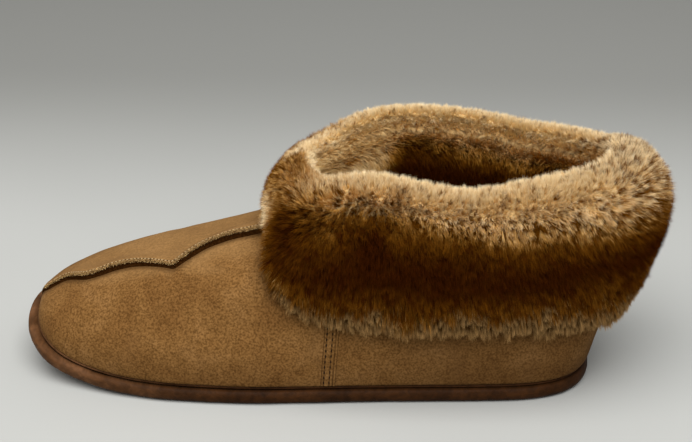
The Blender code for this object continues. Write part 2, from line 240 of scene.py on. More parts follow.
# How the pile's length changes round the opening: on the roll and at the lower edge.
TRIM = table(
    "turn roll edge",
    (0, 0.75, 0.8),
    (25, 0.95, 0.95),
    (60, 1.0, 1.0),
    (120, 1.0, 1.0),
    (140, 1.05, 0.8),
    (165, 1.2, 0.62),
    (195, 1.15, 0.62),
    (215, 0.9, 0.9),
    (280, 0.9, 1.0),
    (300, 0.9, 0.8),
    (322, 0.7, 0.6),
    (345, 0.65, 0.7),
    (360, 0.75, 0.8),
)
FRINGE_FROM = 0.905  # past this run the strands are the grey-beige ones of the cut edge
TIP_DYE = 0.42  # how much darker the tufts with dark tips are
CUFF_STRANDS = 570000
CREST_STRANDS = 70000  # more of them near the cuff's crest, where they stand against the light
RIM_STRANDS = 150000
LINING_STRANDS = 28000
INSOLE_STRANDS = 18000
LINING_FRONT = -70 * MM  # the lining's wool starts behind this x, and above these heights
LINING_FROM = 14 * MM
SEEN_FROM = 60 * MM
RIM_FROM = 80 * MM
STRAND_WIDTH = 0.36 * MM
STRAND_SUNK = 1.5 * MM
CREST = (7 * MM, 1 * MM)  # the crest's dense pale wool thins out between these depths
LYING_CLOSE = 2.2 * MM  # nearer than this to the upper, the cuff has no strands
STRAY = 0.12  # how far a strand's heading strays from its tuft's
TUFT_SPREAD = 0.09  # how much tufts differ in length
TUFT_AREA = 1.5e-6  # square metres of skin to each tuft
BAKE_MAP = "OFBake"
CUFF_BINS = 60  # steps round the opening at which the cuff's height is taken
# The cuff's pieces: each one's name and the degrees round the opening that it covers.
CUFF_PARTS = (
    ("cuff_fur_outer_front", 0, 70),
    ("cuff_fur_outer_side", 70, 120),
    ("cuff_fur_outer_back", 120, 180),
    ("cuff_fur_inner_back", 180, 240),
    ("cuff_fur_inner_side", 240, 290),
    ("cuff_fur_inner_front", 290, 360),
)

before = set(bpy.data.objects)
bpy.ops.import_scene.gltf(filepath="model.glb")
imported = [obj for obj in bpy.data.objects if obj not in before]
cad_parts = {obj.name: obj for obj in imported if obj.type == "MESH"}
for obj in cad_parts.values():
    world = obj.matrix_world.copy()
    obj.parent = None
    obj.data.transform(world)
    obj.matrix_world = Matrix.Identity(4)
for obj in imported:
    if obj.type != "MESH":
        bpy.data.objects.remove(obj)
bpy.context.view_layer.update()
rng = np.random.default_rng(7)


# ---- small helpers


def unit(vectors):
    return vectors / np.maximum(np.linalg.norm(vectors, axis=-1, keepdims=True), 1e-12)


def xyz(x, y, z):
    """Vectors from their parts, each of them a number or an array."""
    return np.stack(np.broadcast_arrays(x, y, z), axis=-1)


def eased(value, low, high):
    """0 below low, 1 above high, and a smooth step between."""
    t = np.clip((np.asarray(value, float) - low) / (high - low), 0, 1)
    return t * t * (3 - 2 * t)


def column(rows, name, at):
    """One column of a table, read between its rows."""
    return np.interp(at, next(iter(rows.values())), rows[name])


def ripple(points, size, seed):
    """Soft noise about -1 to 1 at each point, with features of about the size given."""
    shift = Vector((seed * 17.3, seed * 5.1, seed * 9.7))
    return np.array([noise.noise(Vector(p) / size + shift) for p in points])


def waves(points, layers):
    """The heights of several ripples together."""
    return sum(ripple(points, size, seed) * height for size, height, seed in layers)


def gone_along(line):
    """How far along a line each of its points lies."""
    return np.concatenate([[0], np.cumsum(np.linalg.norm(np.diff(line, axis=0), axis=1))])


def read_along(vectors, gone, at):
    """Vectors that are given along a line, read at other distances along it."""
    return xyz(*(np.interp(at, gone, part) for part in vectors.T))


def ripples(points, size, seeds):
    """Soft noise as vectors, each part with a seed of its own."""
    return xyz(*(ripple(points, size, seed) for seed in seeds))


def curve_through(points, count):
    """Points evenly spaced along a smooth curve through the points given."""
    keys = np.array(points, float)
    padded = np.vstack([2 * keys[0] - keys[1], keys, 2 * keys[-1] - keys[-2]])
    a, b, c, d = (padded[first : first + len(keys) - 1, None] for first in range(4))
    t = np.linspace(0, 1, 20, endpoint=False)[:, None]
    bend = 2 * a - 5 * b + 4 * c - d
    swing = -a + 3 * b - 3 * c + d
    fine = b + (c - a) * t / 2 + bend * t**2 / 2 + swing * t**3 / 2
    fine = np.vstack([fine.reshape(-1, 3), keys[-1]])
    gone = gone_along(fine)
    return read_along(fine, gone, np.linspace(0, gone[-1], count))


def tree_of(points):
    """A search tree of points."""
    tree = KDTree(len(points))
    for index, point in enumerate(points):
        tree.insert(point, index)
    tree.balance()
    return tree


def linked(name, data):
    """A new object in the scene."""
    made = bpy.data.objects.new(name, data)
    bpy.context.scene.collection.objects.link(made)
    return made


class Skin:
    """A CAD node's surface made smooth and fine, with a search tree and smooth normals."""

    def __init__(self, node, levels):
        builder = bmesh.new()
        builder.from_mesh(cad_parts[node].data)
        bmesh.ops.remove_doubles(builder, verts=builder.verts, dist=1e-6)
        bmesh.ops.join_triangles(
            builder,
            faces=builder.faces,
            angle_face_threshold=math.radians(40),
            angle_shape_threshold=math.radians(60),
        )
        rough = bpy.data.meshes.new(node + "_rough")
        builder.to_mesh(rough)
        builder.free()
        holder = linked(node + "_rough", rough)
        smoother = holder.modifiers.new("Smooth", "SUBSURF")
        smoother.levels = smoother.render_levels = levels
        depsgraph = bpy.context.evaluated_depsgraph_get()
        self.mesh = bpy.data.meshes.new_from_object(holder.evaluated_get(depsgraph))
        bpy.data.objects.remove(holder)
        self.points = vertex_array(self.mesh, "co")
        self.normals = vertex_array(self.mesh, "normal")
        self.mesh.calc_loop_triangles()
        flat = np.empty(len(self.mesh.loop_triangles) * 3, np.int32)
        self.mesh.loop_triangles.foreach_get("vertices", flat)
        self.tris = flat.reshape(-1, 3)
        self.tree = BVHTree.FromPolygons(self.points.tolist(), self.tris.tolist())

    def nearest(self, points):
        """The nearest places on the skin, their smooth normals and their distances."""
        places, normals, gaps = [], [], []
        for point in points:
            place, _, index, gap = self.tree.find_nearest(point)
            corners = self.tris[index]
            a, b, c = self.points[corners]
            weights = barycentric(np.array(place), a, b, c)
            places.append(place)
            normals.append(weights @ self.normals[corners])
            gaps.append(gap)
        return np.array(places), unit(np.array(normals)), np.array(gaps)

    def distance(self, points):
        return np.array([self.tree.find_nearest(point)[3] for point in points])

    def scattered(self, keep, count):
        """Random points, even by area, on the triangles kept, with their normals."""
        tris = self.tris[keep]
        corners = self.points[tris]
        area = self.areas(keep)
        picked = rng.choice(len(tris), count, p=area / area.sum())
        u, v = rng.random(count), rng.random(count)
        over = u + v > 1
        u[over], v[over] = 1 - u[over], 1 - v[over]
        weights = np.stack([1 - u - v, u, v], axis=1)[:, :, None]
        normals = unit((self.normals[tris[picked]] * weights).sum(axis=1))
        return (corners[picked] * weights).sum(axis=1), normals

    def move(self, points):
        """Moves the skin's points, for whatever is laid on it next."""
        self.points = points
        self.mesh.vertices.foreach_set("co", points.ravel())
        self.tree = BVHTree.FromPolygons(points.tolist(), self.tris.tolist())

    def centres(self):
        return self.points[self.tris].mean(axis=1)

    def facing(self):
        return self.normals[self.tris].mean(axis=1)

    def areas(self, keep):
        corners = self.points[self.tris[keep]]
        sides = np.cross(corners[:, 1] - corners[:, 0], corners[:, 2] - corners[:, 0])
        return np.linalg.norm(sides, axis=1) / 2


def vertex_array(mesh, field):
    values = np.empty(len(mesh.vertices) * 3)
    mesh.vertices.foreach_get(field, values)
    return values.reshape(-1, 3)


def barycentric(point, a, b, c):
    """Weights of a triangle's corners at a point in it."""
    ab, ac, ap = b - a, c - a, point - a
    d = np.array([[ab @ ab, ab @ ac], [ab @ ac, ac @ ac]])
    v, w = np.linalg.solve(d + np.eye(2) * 1e-18, [ap @ ab, ap @ ac])
    return np.clip([1 - v - w, v, w], 0, 1)


def add_piece(name, mesh, materials):
    """Links a mesh, shaded smooth, as one piece of the slipper."""
    made = linked(name, mesh)
    for surface in materials:
        mesh.materials.append(surface)
    mesh.shade_smooth()
    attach(made, "root")
    return made


def grid_mesh(name, rows):
    """A mesh of quads through rows of points, all rows of the same length."""
    rows = np.array(rows)
    count, width = rows.shape[:2]
    faces = []
    for row in range(count - 1):
        for corner in range(row * width, (row + 1) * width - 1):
            faces.append((corner, corner + 1, corner + width + 1, corner + width))
    mesh = bpy.data.meshes.new(name)
    mesh.from_pydata(rows.reshape(-1, 3).tolist(), [], faces)
    return mesh


# ---- materials


WHITE = (1.0, 1.0, 1.0)


class Surface:
    """A Principled material and the few node steps that the materials here share."""

    def __init__(self, name, roughness, specular, sheen=0.0):
        self.made = bpy.data.materials.new(name)
        self.made.use_nodes = True
        self.tree = self.made.node_tree
        self.shader = self.tree.nodes["Principled BSDF"]
        self.set(("Roughness", roughness), ("Specular IOR Level", specular))
        self.set(("Sheen Weight", sheen), ("Sheen Roughness", 0.5))

    def set(self, *inputs):
        """Joins values to the shader's inputs."""
        for name, value in inputs:
            self.join(value, self.shader.inputs[name])

    def join(self, value, socket):
        """Links an output to a socket, or sets the socket to a number, a vector or a colour."""
        if isinstance(value, bpy.types.NodeSocket):
            self.tree.links.new(value, socket)
        else:
            socket.default_value = (*value, 1) if socket.type == "RGBA" else value

    def node(self, kind, inputs, **settings):
        """A new node with its settings, and with its inputs joined by name or number."""
        made = self.tree.nodes.new(kind)
        for name, value in settings.items():
            setattr(made, name, value)
        for key, value in inputs.items():
            self.join(value, made.inputs[key])
        return made

    def place(self, stretch=(1, 1, 1), turn=(0, 0, 0)):
        """Object coordinates, stretched and turned."""
        here = self.node("ShaderNodeTexCoord", {}).outputs["Object"]
        inputs = {"Vector": here, "Scale": stretch, "Rotation": turn}
        return self.node("ShaderNodeMapping", inputs).outputs["Vector"]

    def split(self, vector):
        """A vector's parts by name: X, Y and Z."""
        return self.node("ShaderNodeSeparateXYZ", {0: vector}).outputs

    def noise(self, size, detail=3.0, vector=None, distortion=0.0):
        """A noise from 0 to 1 whose features are about the size given."""
        inputs = {"Scale": 1 / size, "Detail": detail, "Distortion": distortion}
        inputs["Vector"] = vector or self.place()
        return self.node("ShaderNodeTexNoise", inputs).outputs["Fac"]

    def ramp(self, value, *stops):
        """Colours at places from 0 to 1."""
        made = self.node("ShaderNodeValToRGB", {"Fac": value})
        elements = made.color_ramp.elements
        while len(elements) < len(stops):
            elements.new(0.5)
        for element, (at, colour) in zip(elements, stops):
            element.position = at
            element.color = (*colour, 1)
        return made.outputs["Color"]

    def mix(self, share, first, second, kind="MIX"):
        """Two colours mixed: the first one where the share is 0, the second where it is 1."""
        inputs = {0: share, 6: first, 7: second}
        made = self.node("ShaderNodeMix", inputs, data_type="RGBA", blend_type=kind)
        return made.outputs[2]

    def tint(self, share, base, value, *stops):
        """The base, by a share, times a ramp's colours."""
        return self.mix(share, base, self.ramp(value, *stops), "MULTIPLY")

    def math(self, operation, first, second):
        inputs = {0: first, 1: second}
        return self.node("ShaderNodeMath", inputs, operation=operation).outputs[0]

    def step(self, value, low, high):
        """0 below low, 1 above high, and a smooth step between."""
        inputs = {"Value": value, "From Min": low, "From Max": high}
        made = self.node("ShaderNodeMapRange", inputs, interpolation_type="SMOOTHSTEP")
        return made.outputs["Result"]

    def attribute(self, name):
        return self.node("ShaderNodeAttribute", {}, attribute_name=name).outputs["Fac"]

    def bump(self, *layers):
        """Heights in metres: each layer is a value from 0 to 1 and the depth it stands for."""
        inputs = {}
        for height, depth in layers:
            inputs.update(Height=height, Distance=depth)
            inputs["Normal"] = self.node("ShaderNodeBump", inputs).outputs["Normal"]
        self.set(("Normal", inputs["Normal"]))

    def colour(self, output):
        """The material, with its colour joined."""
        self.set(("Base Color", output))
        return self.made


def suede():
    """Tan suede: fine nap, brushed patches, smudges, a painted highlight on top and painted shade
    from the vertex attribute.
    """
    s = Surface("suede", 0.95, 0.04, sheen=0.03)
    s.set(("Sheen Tint", (0.9, 0.6, 0.35)))
    nap = s.noise(0.95 * MM, 7.0)
    brushed = s.noise(1.0, 3.0, s.place((260, 700, 420), (0.2, 0.35, 0.1)))
    patches = s.noise(22 * MM, 3.0, distortion=0.6)
    base = s.ramp(
        patches,
        (0.30, (0.138, 0.063, 0.017)),
        (0.52, (0.174, 0.084, 0.024)),
        (0.72, (0.214, 0.108, 0.035)),
    )
    fine = ((0.36, (0.50, 0.46, 0.40)), (0.5, WHITE), (0.64, (1.42, 1.47, 1.60)))
    base = s.tint(0.75, base, nap, *fine)
    # Painted highlight: suede that faces up is painted paler, for the light from above.
    facing = s.split(s.node("ShaderNodeNewGeometry", {}).outputs["Normal"])
    painted_top_light = s.step(facing["Z"], 0.82, 0.97)
    base = s.mix(s.math("MULTIPLY", painted_top_light, 0.32), base, (0.37, 0.215, 0.085))
    base = s.tint(0.6, base, brushed, (0.3, (0.84, 0.83, 0.80)), (0.65, (1.1, 1.1, 1.12)))
    smudge = s.step(s.noise(46 * MM, 4.0, distortion=1.2), 0.56, 0.72)
    base = s.mix(s.math("MULTIPLY", smudge, 0.3), base, (0.16, 0.08, 0.028))
    # Painted shade from the vertex attribute: low down, behind, under the cuff and the lap and in
    # the side seam's grooves; also darker where the suede meets the rand.
    base = s.mix(s.attribute("painted_shade_and_seam"), base, (0.026, 0.0095, 0.002))
    s.bump((patches, 0.5 * MM), (brushed, 0.12 * MM), (nap, 0.16 * MM))
    return s.colour(base)


def fibrous(name, roughness, specular, size, detail, depth, *stops):
    """Fine fibres of about the size given, as colour and bump."""
    s = Surface(name, roughness, specular)
    fibres = s.noise(size, detail)
    s.bump((fibres, depth))
    return s.colour(s.ramp(fibres, *stops))


def raw_edge():
    """The pale cut edge of the sheepskin."""
    pale = ((0.3, (0.10, 0.054, 0.018)), (0.5, (0.20, 0.120, 0.048)), (0.7, (0.32, 0.220, 0.105)))
    return fibrous("raw_edge", 0.95, 0.0, 0.5 * MM, 4.0, 0.3 * MM, *pale)


def shaded_wool():
    """The wool that shows under the lap, painted dark for the shade it lies in."""
    dark = ((0.35, (0.016, 0.0055, 0.001)), (0.65, (0.036, 0.013, 0.003)))
    return fibrous("shaded_wool", 0.98, 0.0, 0.8 * MM, 4.0, 0.5 * MM, *dark)


def thread(name, dark, light):
    return fibrous(name, 0.7, 0.04, 0.3 * MM, 2.0, 0.06 * MM, (0.3, dark), (0.7, light))


def rand_leather():
    """Smooth reddish-brown leather with slanted wrinkles, and a painted highlight where it turns up
    at the toe.
    """
    s = Surface("rand_leather", 0.66, 0.07)
    # Painted highlight: the toe, which turns up to the light, is painted paler than the shaded
    # side.
    painted_toe_light = s.step(s.split(s.place())["X"], -30 * MM, -145 * MM)
    wrinkles = s.noise(1.0, 3.0, s.place((330, 90, 420), (0, 0.55, 0)), 0.4)
    grain = s.noise(0.9 * MM, 3.0)
    worn = s.noise(14 * MM, 4.0)
    side = s.ramp(worn, (0.35, (0.022, 0.0075, 0.0015)), (0.65, (0.042, 0.015, 0.0035)))
    front = s.ramp(worn, (0.35, (0.080, 0.034, 0.012)), (0.65, (0.16, 0.074, 0.032)))
    base = s.mix(painted_toe_light, side, front)
    base = s.tint(0.55, base, wrinkles, (0.35, (0.55, 0.55, 0.55)), (0.6, (1.25, 1.2, 1.15)))
    # Darker where the rand meets the upper, from the vertex attribute.
    base = s.mix(s.attribute("painted_shade_and_seam"), base, (0.012, 0.006, 0.003))
    rough = s.node("ShaderNodeMapRange", {"Value": grain, "To Min": 0.48, "To Max": 0.72})
    s.set(("Roughness", rough.outputs["Result"]))
    s.bump((wrinkles, 0.5 * MM), (grain, 0.08 * MM))
    return s.colour(base)


def sole_leather():
    s = Surface("sole_leather", 0.8, 0.25)
    grain = s.noise(1.1 * MM, 4.0)
    worn = s.noise(30 * MM, 4.0)
    s.bump((grain, 0.15 * MM))
    base = s.ramp(worn, (0.35, (0.05, 0.026, 0.014)), (0.65, (0.11, 0.062, 0.036)))
    return s.colour(s.tint(0.4, base, grain, (0.35, (0.6, 0.6, 0.6)), (0.65, (1.2, 1.2, 1.2))))


def wool_ground(name, shade_attribute=None):
    """What shows between the strands: curled wool as colour and bump.

    How dark it is comes from a vertex attribute of painted shade or, without one, from the height:
    darker lower down, partly for the cuff's dark band and partly as painted shade deep in the pile.
    """
    s = Surface(name, 0.95, 0.0)
    curls = s.noise(1.8 * MM, 4.0, distortion=1.5)
    s.bump((curls, 0.8 * MM))
    if shade_attribute:
        dye = s.attribute(shade_attribute)
    else:
        # Darker from 102 mm down to 88 mm: partly the cuff's dark band, partly painted shade deep
        # in the pile and inside the slipper.
        dye = s.step(s.split(s.place())["Z"], 102 * MM, 88 * MM)
    base = s.ramp(
        dye,
        (0.05, (0.62, 0.43, 0.20)),
        (0.30, (0.30, 0.17, 0.050)),
        (0.60, (0.10, 0.038, 0.008)),
        (1.00, (0.032, 0.011, 0.002)),
    )
    shade = ((0.35, (0.55, 0.52, 0.48)), (0.65, (1.25, 1.25, 1.25)))
    return s.colour(s.tint(1.0, base, curls, *shade))


def pile():
    """The strands. The map gives how dark a strand is, by dyeing and by painted shade, then how far
    along it a point is.

    A value over 0.92 stands for the undyed grey-beige strands of a cut edge.
    """
    s = Surface("pile", 0.85, 0.0)
    placed = s.split(s.node("ShaderNodeUVMap", {}, uv_map=BAKE_MAP).outputs["UV"])
    dye, along = placed["X"], placed["Y"]
    pale = s.ramp(
        along,
        (0.0, (0.84, 0.58, 0.24)),
        (0.4, (0.91, 0.70, 0.36)),
        (0.9, (0.97, 0.84, 0.59)),
    )
    body = s.tint(
        1.0,
        pale,
        dye,
        (0.04, WHITE),
        (0.20, (0.78, 0.58, 0.31)),
        (0.34, (0.54, 0.33, 0.095)),
        (0.50, (0.27, 0.12, 0.018)),
        (0.66, (0.14, 0.046, 0.004)),
        (0.85, (0.085, 0.022, 0.002)),
    )
    tip = s.ramp(
        dye,
        (0.10, (0.28, 0.12, 0.018)),
        (0.50, (0.14, 0.047, 0.003)),
        (0.85, (0.050, 0.011, 0.001)),
    )
    dark = s.step(s.math("ADD", along, s.math("MULTIPLY", dye, 1.5)), 0.95, 1.2)
    base = s.mix(dark, body, tip)
    cut = s.ramp(
        along,
        (0.0, (0.018, 0.007, 0.001)),
        (0.5, (0.075, 0.030, 0.006)),
        (0.9, (0.42, 0.25, 0.095)),
    )
    return s.colour(s.mix(s.step(dye, 0.90, 0.92), base, cut))


def pale_floor():
    """Plain pale paper, with painted shade greying it further back."""
    s = Surface("pale_floor", 0.6, 0.25)
    cloud = s.noise(0.35, 2.0)
    paper = s.ramp(cloud, (0.3, (0.43, 0.44, 0.43)), (0.7, (0.47, 0.48, 0.47)))
    # Painted shade: the far floor is greyed, as the back of the room gets less light.
    back = s.step(s.split(s.place())["Y"], 120 * MM, 500 * MM)
    return s.colour(s.mix(back, paper, (0.262, 0.266, 0.256)))


# ---- camera, floor and light


def add_camera():
    """The camera of the photo's view."""
    azimuth, elevation = math.radians(CAMERA_AZIMUTH), math.radians(CAMERA_ELEVATION)
    level = math.cos(elevation)
    towards = Vector((-math.sin(azimuth) * level, math.cos(azimuth) * level, -math.sin(elevation)))
    camera = linked("camera", bpy.data.cameras.new("camera"))
    camera.data.lens = LENS
    camera.data.sensor_width = 36
    camera.data.clip_start = 0.01
    camera.location = LOOK_AT - towards * CAMERA_DISTANCE
    camera.rotation_euler = towards.to_track_quat("-Z", "Y").to_euler()
    bpy.context.scene.camera = camera


def add_floor():
    side = FLOOR_HALF_SIDE
    mesh = bpy.data.meshes.new("floor")
    corners = [(-side, -side, 0), (side, -side, 0), (side, side, 0), (-side, side, 0)]
    mesh.from_pydata(corners, [], [(0, 1, 2, 3)])
    mesh.materials.append(pale_floor())
    floor = linked("floor", mesh)


def add_lights():
    """A pale room and one large soft lamp above the slipper's outer side."""
    world = bpy.data.worlds.new("room")
    world.use_nodes = True
    sky = world.node_tree.nodes["Background"]
    sky.inputs["Color"].default_value = ROOM_COLOUR
    sky.inputs["Strength"].default_value = ROOM_LIGHT
    bpy.context.scene.world = world
    lamp = bpy.data.lights.new("key", "AREA")
    lamp.size = KEY_SIZE
    lamp.energy = KEY_POWER
    lamp.color = KEY_COLOUR
    made = linked("key", lamp)
    made.location = KEY_PLACE
    made.rotation_euler = (KEY_AIM - KEY_PLACE).to_track_quat("-Z", "Y").to_euler()
    bpy.context.scene.view_settings.view_transform = "Standard"


# ---- suede, seams and rand


def crease_depth(points):
    """How far the creases sink the suede at each point."""
    depth = np.zeros(len(points))
    for start, end, half_width, deep in CREASES:
        a, b = np.array(start) * MM, np.array(end) * MM
        share = np.clip((points - a) @ (b - a) / ((b - a) @ (b - a)), -0.15, 1.15)
        nearest = a + share[:, None] * (b - a)
        away = np.linalg.norm(points - nearest, axis=1) / (half_width * MM)
        fade = eased(0.5 + 0.65 - np.abs(share - 0.5), 0, 0.35)
        depth += deep * MM * fade * np.exp(-(away**2))
    return depth


def store(mesh, name, values):
    """Keeps a number for each vertex, for the material to read."""
    made = mesh.attributes.new(name, "FLOAT", "POINT")
    made.data.foreach_set("value", np.asarray(values, np.float32))


def outside_of(points, normals):
    """Whether a point of the upper lies on its outer surface, by which way it faces."""
    front, back, middle = CORE
    core = points.clip((front, middle, 20 * MM), (back, middle, math.inf))
    under_vamp = points[:, 0] < -10 * MM
    core[under_vamp, 2] = core[under_vamp, 2].clip(max=26 * MM)
    return ((points - core) * normals).sum(axis=1) > 0


def darken_by_shade_and_seam(points, near_rand, cuff):
    """How much darker the suede is painted: painted shade low down, behind and under the cuff's
    overhang, and darker where it meets the rand.
    """
    # Painted shade: darker low down and towards the heel, where less light falls.
    low = 1 - eased(points[:, 2], 8 * MM, 30 * MM)
    behind = eased(points[:, 0], 0, 90 * MM)
    # Painted shadow under the cuff's overhang.
    painted_shadow_under_cuff = 1 - eased(cuff.distance(points), 1 * MM, 12 * MM)
    # Darker where the suede meets the rand.
    seam = 0.8 * (1 - eased(near_rand, 0.8 * MM, 2.6 * MM))
    return np.clip(seam + 0.22 * low + 0.32 * behind + 0.80 * painted_shadow_under_cuff, 0, 0.87)


def make_suede(upper, rand, cuff, limits, seam, materials):
    """The upper's surface: suede outside, wool inside, with creases and the turn at the rand."""
    points, normals = upper.points.copy(), upper.normals
    outside = outside_of(points, normals)
    near = rand.distance(points)
    tuck = TUCK * (1 - eased(near, 0, TUCK_REACH)) * outside
    rise = waves(points, SUEDE_WAVES) * eased(near, 0, 4 * MM) - crease_depth(points)
    mesh = upper.mesh
    upper.move(points + normals * (rise * outside - tuck)[:, None])
    tree = tree_of(seam)
    from_seam = np.array([tree.find(point)[2] for point in points])
    # Painted shadow on the suede just below the lap's edge.
    painted_shadow_under_lap = 0.6 * (1 - eased(from_seam, 0.6 * MM, 3.6 * MM))
    store(mesh, "painted_shade_and_seam", np.clip(darken_by_shade_and_seam(points, near, cuff) + painted_shadow_under_lap, 0, 0.9) * outside)
    # The lining's ground gets the same painted shade, darker with depth.
    store(mesh, "wool_painted_shade", inner_painted_shade(points, rim_over(points, limits)))
    inside = [int(not outside[polygon.vertices[0]]) for polygon in mesh.polygons]
    made = add_piece("upper_suede", mesh, materials)
    mesh.polygons.foreach_set("material_index", inside)
    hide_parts("upper")


def make_rand(rand, upper, material):
    """The rand's fine surface, a little uneven as hand-sewn leather is."""
    near = upper.distance(rand.points)
    wave = waves(rand.points, RAND_WAVES)
    above = eased(rand.points[:, 2], 0.5 * MM, 2 * MM)
    at_toe = eased(-rand.points[:, 0], 100 * MM, 134 * MM)
    wave += TOE_SWELL * at_toe * eased(rand.normals[:, 2], 0.9, 0.5)
    mesh = rand.mesh
    mesh.vertices.foreach_set("co", (rand.points + rand.normals * (wave * above)[:, None]).ravel())
    # Darker where the rand meets the upper.
    store(mesh, "painted_shade_and_seam", 0.8 * (1 - eased(near, 0.4 * MM, 1.8 * MM)))
    made = add_piece("rand_strip", mesh, [material])
    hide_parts("rand")


def around_the_foot(count):
    """Points of the foot's middle line and level directions out from them, all the way round."""
    front, back, middle = CORE
    length = back - front
    half = length + math.pi * END_RADIUS
    spots = []
    for gone in np.arange(count) * 2 * half / count:
        inner_side, gone = divmod(gone, half)
        straight = min(gone, length)
        x = front + straight if inner_side else back - straight
        turn = (inner_side - 0.5) * math.pi - (gone - straight) / END_RADIUS
        spots.append((Vector((x, middle, 0)), Vector((math.cos(turn), math.sin(turn), 0))))
    return spots


def smoothed(ring):
    """A closed line's vectors, each drawn towards its neighbours."""
    return (np.roll(ring, 1, axis=0) + ring * 2 + np.roll(ring, -1, axis=0)) / 4


def make_welt(upper, rand, material):
    """The thin corded welt between suede and rand."""
    tops = []
    for core, out in around_the_foot(WELT_STATIONS):
        start = core + out * FAR_OUT
        for height in WELT_HEIGHTS:
            hit = rand.tree.ray_cast(start + Vector((0, 0, height)), -out, FAR_OUT)[0]
            if hit:
                break
        tops.append(hit - out * WELT_IN + WELT_UP)
    places, outs, _ = upper.nearest(tops)
    for _ in range(WELT_SMOOTHINGS):
        places = smoothed(places)
        outs = unit(smoothed(outs))
    along = unit(np.roll(places, -1, axis=0) - np.roll(places, 1, axis=0))
    ups = np.cross(outs, along)
    rings = []
    for turn in np.arange(WELT_SIDES) * 2 * math.pi / WELT_SIDES:
        rings.append(places + (outs * math.cos(turn) + ups * math.sin(turn)) * WELT_RADIUS)
    rings.append(rings[0])
    rows = np.array([np.vstack([ring, ring[:1]]) for ring in rings])
    add_piece("welt", grid_mesh("welt", rows), [material])


def seam_frames(upper):
    """The vamp's seam on the suede: its points, normals and directions in, to the inner panel."""
    foot = curve_through(np.array(SEAM) * MM, LAP_STATIONS)
    foot, normals, _ = upper.nearest(foot)
    along = unit(np.gradient(foot, axis=0))
    inward = unit(np.cross(normals, along))
    inward *= np.sign(inward[:, 1:2].mean())
    return foot, normals, inward


def lap_point(upper, frames, inset, lift):
    """A row of points at a distance in from the lap's edge, lifted off the suede."""
    foot, _, inward = frames
    share = eased(inset, *LAP_TURN)
    direction = unit(inward * (1 - share) + unit(np.array(LAP_INWARD)) * share)
    places, normals, _ = upper.nearest(foot + direction * inset)
    return places + normals * np.reshape(lift, (-1, 1)), normals


def make_lap(upper, frames, materials, wool):
    """The inner panel's edge, lapped over the outer panel, and the wool in the shade beneath it."""
    along = np.arange(LAP_STATIONS)
    ragged = ripple(xyz(along * 0.35, 0, 0), 1.0, 5)
    share = along / (LAP_STATIONS - 1)
    rise = column(LAP_RISE, "rise", share)
    sunk = LAP_END_SUNK * (1 - eased(share, 0, LAP_END_SHARE))
    rows = []
    for row, (inset, lift) in enumerate(LAP_PROFILE):
        rough = ragged * RAGGED_BY if row < RAW_ROWS + 1 else 0
        height = lift * MM * rise + rough - sunk
        rows.append(lap_point(upper, frames, inset * MM, height)[0])
    mesh = grid_mesh("vamp_lap", rows)
    add_piece("vamp_lap", mesh, materials)
    row_of_face = np.arange(len(mesh.polygons)) // (LAP_STATIONS - 1)
    kind = np.select([row_of_face < WOOL_ROWS, row_of_face < RAW_ROWS], [2, 1], 0)
    mesh.polygons.foreach_set("material_index", kind.astype(np.int32))
    store(mesh, "painted_shade_and_seam", np.zeros(len(mesh.vertices)))
    add_edge_fuzz(np.array(rows), frames, wool)


def add_edge_fuzz(rows, frames, wool):
    """Short pale fibres that stand out of the lap's raw edge."""
    _, normals, inward = frames
    count = FUZZ_STRANDS
    station = rng.integers(LAP_STATIONS // 16, LAP_STATIONS - 1, count)
    row = rng.integers(WOOL_ROWS, RAW_ROWS + 1, count)
    along = rng.random(count)[:, None]
    roots = rows[row, station] * (1 - along) + rows[row, station + 1] * along
    rise = (row[:, None] - WOOL_ROWS) / (RAW_ROWS - WOOL_ROWS)
    outward = normals[station] * rise - inward[station] * (1.2 - rise)
    heading = unit(unit(outward) + rng.normal(size=(count, 3)) * 0.5)
    tips = roots + heading * rng.uniform(*FUZZ_LENGTH, count)[:, None]
    widths, ends = np.full(count, FUZZ_WIDTH), np.full(count, 0.9)
    dyes_and_shades = rng.choice(FUZZ_DYES, count)
    mesh = strand_mesh("lap_fuzz", roots, tips, widths, dyes_and_shades, ends)
    add_piece("lap_fuzz", mesh, [wool])


def add_beads(name, centres, ups, alongs, size, material):
    """Many small rounded beads as one piece: thread stitches or needle holes."""
    rings = np.array([-0.95, -0.5, 0.0, 0.5, 0.95])[:, None]
    sides = 8
    turns = np.arange(sides) * 2 * math.pi / sides
    thick = np.sqrt(1 - rings**2)
    bead = xyz(rings, thick * np.cos(turns), thick * np.sin(turns))
    axes = np.stack([alongs, np.cross(ups, alongs), ups], axis=1)
    points = centres[:, None] + (bead.reshape(-1, 3) * size / 2) @ axes
    last = (len(rings) - 1) * sides
    faces = []
    for start in range(0, len(centres) * (last + sides), last + sides):
        for ring in range(start, start + last, sides):
            for side in range(sides):
                a, b = ring + side, ring + (side + 1) % sides
                faces.append((a, b, b + sides, a + sides))
        faces.append(tuple(start + side for side in reversed(range(sides))))
        faces.append(tuple(start + last + side for side in range(sides)))
    mesh = bpy.data.meshes.new(name)
    mesh.from_pydata(points.reshape(-1, 3).tolist(), [], faces)
    add_piece(name, mesh, [material])


def spaced(line, normals, start, pitch):
    """Places at a pitch along a line, with the directions up and along at each."""
    gone = gone_along(line)
    at = np.arange(start, gone[-1], pitch)
    centres = read_along(line, gone, at)
    return centres, unit(read_along(normals, gone, at)), unit(np.gradient(centres, axis=0))


